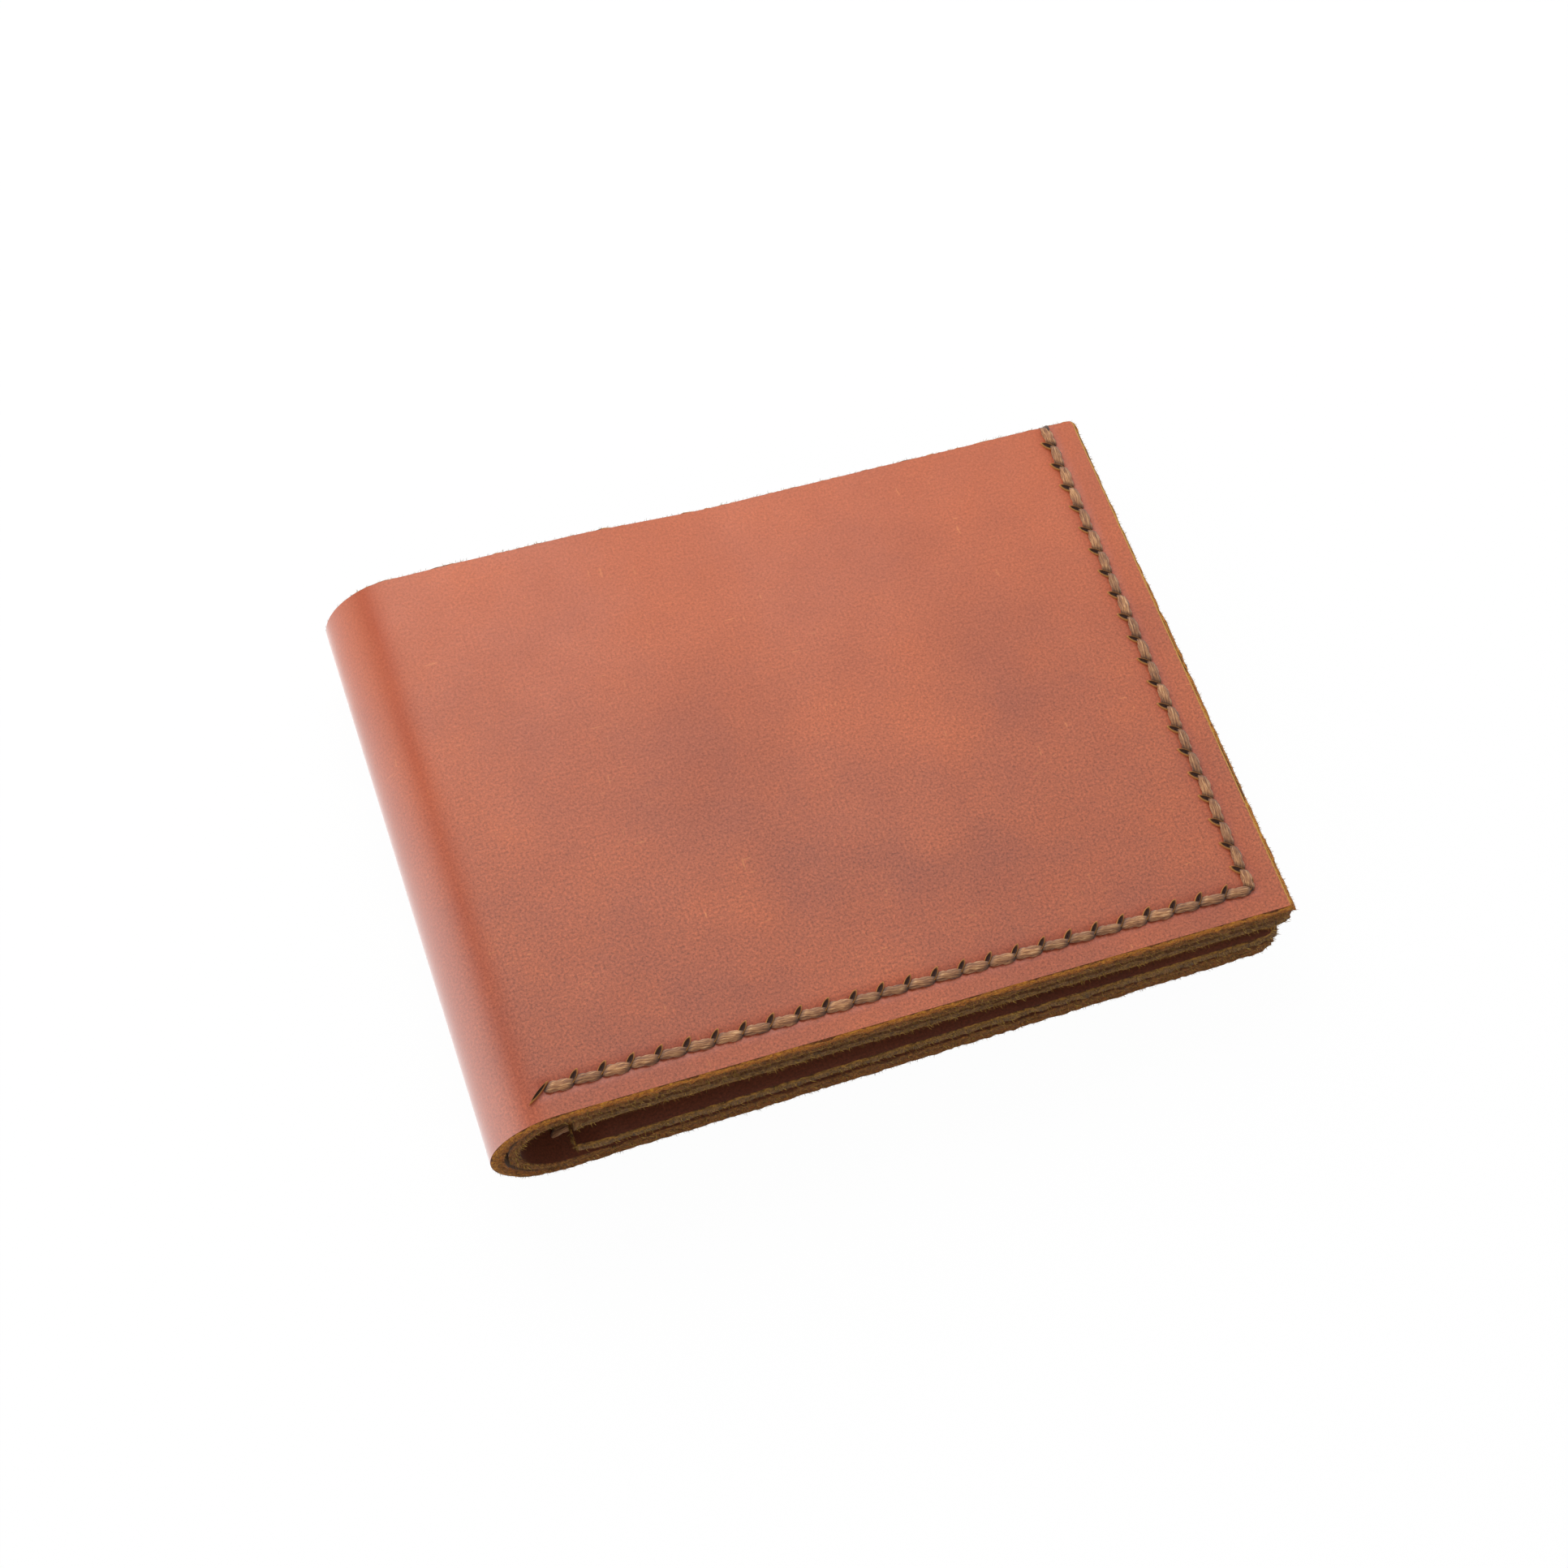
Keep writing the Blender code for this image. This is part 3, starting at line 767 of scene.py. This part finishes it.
for half in ("back", "front"):
    u_lines = lines(POCKET_EDGE, LENGTH[half], 0.8 * MM, [(SEAM_U[half], 2.0 * MM, 0.4 * MM)])
    v_lines = lines(0.0, POCKET_TOP, 0.9 * MM, [SEAM_LINE])
    leather["card_pocket", half] = leather_sheet(
        f"card_pocket_leather_{half}", u_lines, v_lines, pocket_spot(half), POCKET, POCKET_FINISH,
        hide_place(half, 1.2), near_corner=NEAR_CORNER[half], flare=POCKET_FLARE[half])
    u_lines = lines(POCKET_EDGE, LENGTH[half], 1.25 * MM)
    v_lines = lines(STEM_BOTTOM, SLOT_TOP, 1.25 * MM)
    leather["card_slot", half] = leather_sheet(
        f"card_slot_leather_{half}", u_lines, v_lines, slot_spot(half), SLOT, POCKET_FINISH,
        hide_place(half, 1.8), used=t_shape(half))

# %% [markdown]
# ## Saddle stitches
# A saddle stitch shows the same on both sides: one short strand from hole to hole. One strand is
# modelled, a twisted and flattened tube whose ends dive into the holes. Geometry Nodes set a copy on
# every step of the seam. Each step is a point that carries its direction, its outward side, its length
# and its girth, so the same tree serves every seam and the awl slits.

# %% The strand, the slit and the fibre
STRAND_SIDES, STRAND_STEPS = 12, 9
LOBES = 3
TWIST = 0.8                # turns of twist in one stitch
END_SHEAR = 0.20           # the slanted slits cut a stitch's ends aslant


def template(name, rings, closed=True):
    """Hidden shape from rings of points, with a UV map round and along it."""
    bm = bmesh.new()
    layer = bm.loops.layers.uv.new("strand")
    rows = [[bm.verts.new(p) for p in ring] for ring in rings]
    count = len(rings[0])
    for r in range(len(rows) - 1):
        for i in range(count):
            j = (i + 1) % count
            face = bm.faces.new((rows[r][i], rows[r][j], rows[r + 1][j], rows[r + 1][i]))
            face.smooth = True
            corners = ((i, r), (i + 1, r), (i + 1, r + 1), (i, r + 1))
            for loop, (around, along) in zip(face.loops, corners):
                loop[layer].uv = (around / count, along / (len(rows) - 1))
    if closed:
        for cap in (rows[0], rows[-1]):
            bm.faces.new(cap)
    bmesh.ops.recalc_face_normals(bm, faces=bm.faces)
    mesh = bpy.data.meshes.new(name)
    bm.to_mesh(mesh)
    bm.free()
    return bpy.data.objects.new(name, mesh)


def strand_ring(t):
    """One ring of the stitch, at t from -1 to 1; length, width and thickness are all 1."""
    taper = 1 - 0.30 * abs(t) ** 5
    dive = -0.8 * abs(t) ** 5
    ring = []
    for i in range(STRAND_SIDES):
        angle = math.tau * i / STRAND_SIDES
        lobe = 1 + 0.13 * math.cos(LOBES * (angle - math.pi * TWIST * t))
        across = 0.5 * taper * lobe * math.cos(angle)
        ring.append((0.5 * t + END_SHEAR * across, across, dive + 0.5 * taper * lobe * math.sin(angle)))
    return ring


strand_shape = template("strand", [strand_ring(2 * i / STRAND_STEPS - 1) for i in range(STRAND_STEPS + 1)])

SLIT_SIDES = 14


def slit_ring(scale, height):
    """Pointed oval round an awl slit; its length and width are 1."""
    ring = []
    for i in range(SLIT_SIDES):
        angle = math.tau * i / SLIT_SIDES
        narrow = abs(math.sin(angle)) ** 1.4 * math.copysign(1, math.sin(angle))
        ring.append((0.5 * scale * math.cos(angle), 0.5 * scale * narrow, height))
    return ring


SLIT_RINGS = ((0.15, 0.3), (0.60, 0.3), (0.76, 1.0), (0.92, 1.0), (1.15, -0.7))
slit_shape = template("slit", [slit_ring(*ring) for ring in SLIT_RINGS], closed=False)


def fibre_ring(height, radius, lean):
    """Three points round a leather fibre, which is one long and leans over at its tip."""
    return [(lean + radius * math.cos(math.tau * i / 3), radius * math.sin(math.tau * i / 3), height)
            for i in range(3)]


FIBRE_RINGS = ((-0.2, 0.07, 0.0), (0.5, 0.055, 0.10), (0.9, 0.012, 0.38))
fibre_shape = template("fibre", [fibre_ring(*ring) for ring in FIBRE_RINGS])
print("strand with", len(strand_shape.data.polygons), "faces")


# %% [markdown]
# ## Copies by Geometry Nodes
# The tree turns a copy of a shape to its point's direction and outward side, scales it and gives it a
# tone of its own. The result is kept as a plain mesh.

# %% The tree that sets a shape on every point
def new_tree(name, **inputs):
    """Geometry node group with the named inputs, and a shape, a material and a seed."""
    inputs = {"Shape": "Object", **inputs, "Finish": "Material", "Seed": "Int"}
    tree = bpy.data.node_groups.new(name, "GeometryNodeTree")
    tree.interface.new_socket("Geometry", in_out="INPUT", socket_type="NodeSocketGeometry")
    tree.interface.new_socket("Geometry", in_out="OUTPUT", socket_type="NodeSocketGeometry")
    for label, kind in inputs.items():
        tree.interface.new_socket(label, in_out="INPUT", socket_type=f"NodeSocket{kind}")
    return tree, add(tree, "NodeGroupInput").outputs


def named(tree, label, kind):
    """Value of a named attribute of the points."""
    return add(tree, "GeometryNodeInputNamedAttribute", {"Name": label}, data_type=kind).outputs[0]


def random_value(tree, low, high, seed):
    """Random number for each copy."""
    made = add(tree, "FunctionNodeRandomValue", {2: low, 3: high, "Seed": seed}, data_type="FLOAT")
    return made.outputs[1]


def set_copies(tree, given, points, rotation, scale):
    """Copy the shape to the points, tone the copies at random, make them real, set their material."""
    shape = add(tree, "GeometryNodeObjectInfo", {"Object": given["Shape"]}).outputs["Geometry"]
    copies = add(tree, "GeometryNodeInstanceOnPoints",
                 {"Points": points, "Instance": shape, "Rotation": rotation, "Scale": scale}).outputs[0]
    tone = random_value(tree, 0.0, 1.0, given["Seed"])
    toned = add(tree, "GeometryNodeStoreNamedAttribute",
                {"Geometry": copies, "Name": "tone", "Value": tone},
                data_type="FLOAT", domain="INSTANCE").outputs[0]
    real = add(tree, "GeometryNodeRealizeInstances", {"Geometry": toned}).outputs[0]
    painted = add(tree, "GeometryNodeSetMaterial", {"Geometry": real, "Material": given["Finish"]})
    add(tree, "NodeGroupOutput", {0: painted.outputs[0]})


def turn_to(tree, vector, axis, rotation=(0.0, 0.0, 0.0), pivot_axis="AUTO"):
    """Rotation that turns an axis of the shape to a vector."""
    return add(tree, "FunctionNodeAlignRotationToVector", {"Rotation": rotation, "Vector": vector},
               axis=axis, pivot_axis=pivot_axis).outputs[0]


row_tree, given = new_tree("set_along_seam", Width="Float", Thickness="Float")
turned = turn_to(row_tree, named(row_tree, "along", "FLOAT_VECTOR"), "X")
turned = turn_to(row_tree, named(row_tree, "outward", "FLOAT_VECTOR"), "Z", turned, "X")
width = calc(row_tree, "MULTIPLY", given["Width"], random_value(row_tree, 0.88, 1.12, given["Seed"]))
width = calc(row_tree, "MULTIPLY", width, named(row_tree, "girth", "FLOAT"))
size = {0: named(row_tree, "reach", "FLOAT"), 1: width, 2: given["Thickness"]}
scale = add(row_tree, "ShaderNodeCombineXYZ", size).outputs[0]
set_copies(row_tree, given, given["Geometry"], turned, scale)


def run_tree(host, tree, name, **values):
    """Run a node tree on a host object and keep the result as a plain mesh object."""
    if host.name not in bpy.context.scene.collection.objects:
        show(host)
    modifier = host.modifiers.new(name, "NODES")
    modifier.node_group = tree
    for item in tree.interface.items_tree:
        if item.in_out == "INPUT" and item.name in values:
            modifier[item.identifier] = values[item.name]
    depsgraph = bpy.context.evaluated_depsgraph_get()
    mesh = bpy.data.meshes.new_from_object(host.evaluated_get(depsgraph), depsgraph=depsgraph)
    host.modifiers.remove(modifier)
    mesh.name = name
    made = bpy.data.objects.new(name, mesh)
    show(made)
    print(f"{name}: {len(mesh.polygons)} faces")
    return made


def set_on_points(name, steps, shape, width, thickness, finish, seed):
    """Set a shape on each (middle, along, outward, reach, girth) step."""
    mesh = bpy.data.meshes.new(name + "_points")
    mesh.from_pydata([s[0] for s in steps], [], [])
    for at, label in enumerate(("along", "outward", "reach", "girth"), 1):
        store(mesh, label, [s[at] for s in steps])
    host = bpy.data.objects.new(name + "_host", mesh)
    made = run_tree(host, row_tree, name, Shape=shape, Width=width, Thickness=thickness,
                    Finish=finish, Seed=seed)
    bpy.data.objects.remove(host)
    return made


# %% [markdown]
# ## The seams
# The awl's blade stands slanted in the iron, so each slit lies across the seam at an angle, and each
# stitch leans a little against it. The inner side of a seam follows the steps between the layers. The
# first slit, at the fold, has torn open; the last stitch goes over the edge of the opening.

# %% Steps of a seam
STITCH_WIDTH, STITCH_THICK = 1.45 * MM, 0.95 * MM
LEAN = math.radians(7)
SLIT_ANGLE = math.radians(50)
SLIT_LENGTH, SLIT_WIDTH, SLIT_THICK = (d * MM for d in (2.8, 0.90, 0.25))
SLIT_OFFSET = 0.60 * MM    # the slits reach further on the side away from the edge
SLIT_SUNK = {"front": 0.03 * MM, "back": 0.30 * MM}
FIRST_TEAR = 1.2 * MM      # the first slit is torn open further, towards the fold
TORN_ANGLE = math.radians(36)
TORN_GIRTH = 0.55
OVERLAP = 0.12 * MM        # each strand runs on into its holes by this much


def top_layer(half, u, v):
    """Depth of the innermost grain face at a place."""
    if v < POCKET_TOP and u > POCKET_EDGE:
        return pocket_face(half, u, v)
    if BAND_BOTTOM < v < SLOT_TOP and u > POCKET_EDGE:
        return SLOT_DEEP
    return LINER_DEEP


def stitch_between(half, start, end, depths, lean, outer):
    """Strand from hole to hole, each a (u, v), at a depth for each; outer for the shell's face."""
    a, b = (place(half, *spot, depth) for spot, depth in zip((start, end), depths))
    out = facing(half, (start[0] + end[0]) / 2, (start[1] + end[1]) / 2)[2] * (1 if outer else -1)
    along = (b - a).normalized()
    sideways = out.cross(along).normalized()
    leaned = (along * math.cos(lean) + sideways * math.sin(lean)).normalized()
    return (a + b) / 2, leaned, out, (b - a).length + 2 * OVERLAP, 1.0


def slit_at(half, u, v, along_v, outer, torn=0.0):
    """Awl slit at a hole, slanted to the seam; torn makes it longer at its near end.

    Under the back half the slits are sunk further, so that nothing stands out below the shell.
    """
    sunk = SLIT_SUNK[half] if outer else SLIT_SUNK["front"]
    depth = sunk if outer else top_layer(half, u, v) - sunk
    e_u, e_v, out = facing(half, u, v)
    along, across, inward = (-e_v, e_u, -e_u) if along_v else (e_u, e_v, e_v)
    angle, girth = (TORN_ANGLE, TORN_GIRTH) if torn else (SLIT_ANGLE, 1.0)
    leaned = (along * math.cos(angle) + across * math.sin(angle)).normalized()
    spot = place(half, u, v, depth) + inward * SLIT_OFFSET - leaned * torn
    return spot, leaned, out if outer else -out, SLIT_LENGTH + torn, girth


def wrap_at(half, u, v, sunk):
    """Last stitch, which goes on over the opening's edge and back inside to the last hole."""
    on_edge = place(half, u, HEIGHT, sunk + 0.1 * MM), place(half, u, HEIGHT, LINER_DEEP)
    across = on_edge[1] - on_edge[0]
    out = facing(half, u, HEIGHT)[1]
    return [stitch_between(half, (u, v), (u, HEIGHT), (sunk, sunk + 0.15 * MM), 0.0, True),
            (sum(on_edge, Vector()) / 2 - out * 0.1 * MM, across.normalized(), out,
             across.length + 0.6 * MM, 1.0),
            stitch_between(half, (u, HEIGHT), (u, v), (LINER_DEEP, LINER_DEEP), 0.0, False)]


# %% [markdown]
# ## Sewing
# Both faces of a seam are sewn. Under the back half the strands sink into the leather, so that the
# wallet lies flat. Then come the pocket's seam beside the fold and the slot's seam at its foot.

# %% Make the seams
seams = {}


def sew(kind, half, strands, thickness, seed):
    """Set the stitches of one kind of thread on a half."""
    seams[f"{kind}_thread", half] = set_on_points(
        f"{kind}_stitches_{half}", strands, strand_shape, STITCH_WIDTH, thickness, waxed_thread, seed)


for half in ("back", "front"):
    bottom = [(u, NEAR_INSET) for u in BOTTOM_HOLES[half]]
    side = [(SEAM_U[half], v) for v in SIDE_HOLES]
    holes = bottom + side
    proud = 0.05 * MM if half == "front" else -0.50 * MM
    lean = -LEAN if half == "front" else LEAN
    strands = wrap_at(half, *side[-1], -proud)
    for a, b in zip(holes, holes[1:]):
        strands.append(stitch_between(half, a, b, (-proud, -proud), lean, True))
        inside = [top_layer(half, *spot) - 0.25 * MM for spot in (a, b)]
        strands.append(stitch_between(half, a, b, inside, -lean, False))
    sew("seam", half, strands, STITCH_THICK, 3)
    slits = [slit_at(half, u, v, False, outer) for u, v in bottom[1:] for outer in (True, False)]
    slits += [slit_at(half, u, v, True, outer) for u, v in side for outer in (True, False)]
    slits.append(slit_at(half, *bottom[0], False, True, FIRST_TEAR))
    seams["awl_slits", half] = set_on_points(
        f"awl_slits_{half}", slits, slit_shape, SLIT_WIDTH, SLIT_THICK, slit_leather, 5)
    u = POCKET_EDGE + POCKET_SEAM
    row = [(u, v) for v in evenly(NEAR_INSET + SEAM_END, POCKET_TOP - SEAM_END)]
    strands = [stitch_between(half, a, b, [pocket_face(half, *spot) - 0.2 * MM for spot in (a, b)],
                              lean, False) for a, b in zip(row, row[1:])]
    sew("pocket", half, strands, STITCH_THICK, 7)
    stem = (POCKET_EDGE + STEM_INSET + SEAM_END, LENGTH[half] - STEM_INSET - SEAM_END)
    row = [(u, STEM_BOTTOM + SLOT_SEAM) for u in evenly(*stem)]
    strands = [stitch_between(half, a, b, (SLOT_DEEP - 0.35 * MM,) * 2, lean, False)
               for a, b in zip(row, row[1:])]
    sew("slot", half, strands, STITCH_THICK / 2, 9)

# %% [markdown]
# ## Loose fibres on the raw edges
# A knife leaves the fibres of an unburnished edge standing up. They are scattered over the edge faces
# with a second node tree: most are short, and a few are long, which a random number's fourth power gives.

# %% Scatter the fibres
fuzz_tree, given = new_tree("fuzz_on_raw_edge", Density="Float", Length="Float")
slot_number = add(fuzz_tree, "GeometryNodeInputMaterialIndex").outputs[0]
on_edge = add(fuzz_tree, "FunctionNodeCompare", {2: slot_number, 3: 2}, data_type="INT",
              operation="EQUAL").outputs[0]
spread = add(fuzz_tree, "GeometryNodeDistributePointsOnFaces",
             {"Mesh": given["Geometry"], "Selection": on_edge, "Density": given["Density"],
              "Seed": given["Seed"]})
sway = add(fuzz_tree, "FunctionNodeRandomValue",
           {0: (-0.7,) * 3, 1: (0.7,) * 3, "Seed": given["Seed"]}, data_type="FLOAT_VECTOR")
aim = add(fuzz_tree, "ShaderNodeVectorMath", {0: spread.outputs["Normal"], 1: sway.outputs[0]},
          operation="ADD").outputs[0]
turned = turn_to(fuzz_tree, aim, "Z")
rare = calc(fuzz_tree, "POWER", random_value(fuzz_tree, 0.0, 1.0, 11), 4.0)
size = calc(fuzz_tree, "MULTIPLY", span(fuzz_tree, rare, 0.0, 1.0, 0.45, 1.9), given["Length"])
set_copies(fuzz_tree, given, spread.outputs["Points"], turned, size)

FIBRE_LENGTH = {"outer_shell": 0.28 * MM, "liner": 0.42 * MM, "card_pocket": 0.42 * MM}
FIBRES_PER_M2 = 11e6
fuzz = {}
for (part, half), sheet in leather.items():
    if part in FIBRE_LENGTH:
        fuzz[part, half] = run_tree(
            sheet, fuzz_tree, f"edge_fibres_{part}_{half}", Shape=fibre_shape, Density=FIBRES_PER_M2,
            Length=FIBRE_LENGTH[part], Finish=fibre_ends, Seed=1)

# %% [markdown]
# ## What moves with what
# Pockets, slots, stitches and slits ride on their half. The shell and the liner, with the fibres on
# their edges, only have their transforms baked into their points; they ride on no body.

# %% Bodies that the pieces ride on
FOLD_ENDS = {half: [place(half, u, HEIGHT / 2, SHELL) for u in (-0.06 * FOLD_ARC, -0.94 * FOLD_ARC)]
             for half in LENGTH}


def bend_with_fold(piece, half):
    """Bake the transform of a piece of shell or liner; it is not tied to its half or the fold."""
    flat, middle = FOLD_ENDS[half]
    if half == "back":
        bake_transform(piece)
        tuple(flat)
        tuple(middle)
    else:
        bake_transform(piece)
        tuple(middle)
        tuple(flat)


for pieces in (leather, fuzz, seams):
    for (part, half), piece in pieces.items():
        bends = part in ("outer_shell", "liner")
        if bends:
            bend_with_fold(piece, half)
        else:
            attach(piece, f"{half}_half")
        if pieces is not fuzz and part != "awl_slits":
            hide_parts(f"{part}_{half}", *[f"{part}_fold"] * bends)

# %% [markdown]
# ## Floor and light
# The wallet lies on a white table in soft light. The floor is mostly white to the camera, and keeps a
# little of the shadow; the lamps stay plain, so that the leather shows the colour that it was given.

# %% Floor, world and lamps
FLOOR_REACH = 6.0
FLOOR_WHITE = 0.97         # share of plain white in what the camera sees of the floor
SKY_STRENGTH = 0.395
SOFTBOXES = {              # size, place, aim and power in watts
    "far": (0.5, (-0.03, 0.50, 0.38), (0, 0, 0), 3.7),
    "overhead": (0.5, (0.10, 0.10, 0.85), (0, 0, 0), 0.5),
    "left": (0.6, (-0.70, -0.05, 0.20), (-0.04, 0, 0.01), 2.8),
    "front": (0.5, (0.05, -0.65, 0.30), (0, 0, 0.01), 0.8),
    "right": (0.5, (0.60, 0.16, 0.24), (0.04, 0, 0.01), 1.0)}

floor_mesh = bpy.data.meshes.new("floor")
floor_corners = [(x * FLOOR_REACH, y * FLOOR_REACH, 0) for x, y in ((-1, -1), (1, -1), (1, 1), (-1, 1))]
floor_mesh.from_pydata(floor_corners, [], [(0, 1, 2, 3)])
floor = bpy.data.objects.new("floor", floor_mesh)
floor.location.z = -0.1 * MM
show(floor)
white_table = bpy.data.materials.new("white_table")
white_table.use_nodes = True
tree = white_table.node_tree
tree.nodes.clear()
paper = add(tree, "ShaderNodeBsdfDiffuse", {"Color": linear("#f4f4f5")}).outputs[0]
glow = add(tree, "ShaderNodeEmission", {"Color": (1, 1, 1, 1), "Strength": 1.0}).outputs[0]
seen = add(tree, "ShaderNodeLightPath")
direct = calc(tree, "MAXIMUM", seen.outputs["Is Camera Ray"], seen.outputs["Is Glossy Ray"])
bright = calc(tree, "MULTIPLY", direct, FLOOR_WHITE)
both = add(tree, "ShaderNodeMixShader", {0: bright, 1: paper, 2: glow}).outputs[0]
add(tree, "ShaderNodeOutputMaterial", {"Surface": both})
floor_mesh.materials.append(white_table)

world = bpy.data.worlds.new("studio")
bpy.context.scene.world = world
world.use_nodes = True
sky = world.node_tree.nodes["Background"]
sky.inputs["Color"].default_value = linear("#ffffff")
sky.inputs["Strength"].default_value = SKY_STRENGTH


def softbox(name, size, place_at, aim, power):
    """Square area lamp at a place, turned to look at a point."""
    lamp = bpy.data.lights.new(name, "AREA")
    lamp.size = size
    lamp.energy = power
    made = bpy.data.objects.new(name, lamp)
    made.location = place_at
    made.rotation_euler = (Vector(aim) - Vector(place_at)).to_track_quat("-Z", "Y").to_euler()
    show(made)


for side, settings in SOFTBOXES.items():
    softbox(f"{side}_softbox", *settings)
print("floor, world and softboxes set")

# %% [markdown]
# ## Camera
# A long lens looks down on the wallet from the near left. Azimuth 0 looks along +Y.

# %% Camera
camera_data = bpy.data.cameras.new("camera")
camera_data.lens = 67.5
camera_data.sensor_width = 36.0
camera = bpy.data.objects.new("camera", camera_data)
camera.location = (-0.0746, -0.1736, 0.3984)
azimuth, elevation, roll = (math.radians(a) for a in (-22.65, 64.33, 4.33))
back = Vector((math.sin(azimuth) * math.cos(elevation), -math.cos(azimuth) * math.cos(elevation),
               math.sin(elevation)))
camera.rotation_mode = "QUATERNION"
camera.rotation_quaternion = back.to_track_quat("Z", "Y") @ Quaternion((0.0, 0.0, 1.0), roll)
show(camera)
bpy.context.scene.camera = camera
bpy.context.scene.view_settings.view_transform = "Standard"
print("camera at", [round(c, 3) for c in camera.location])
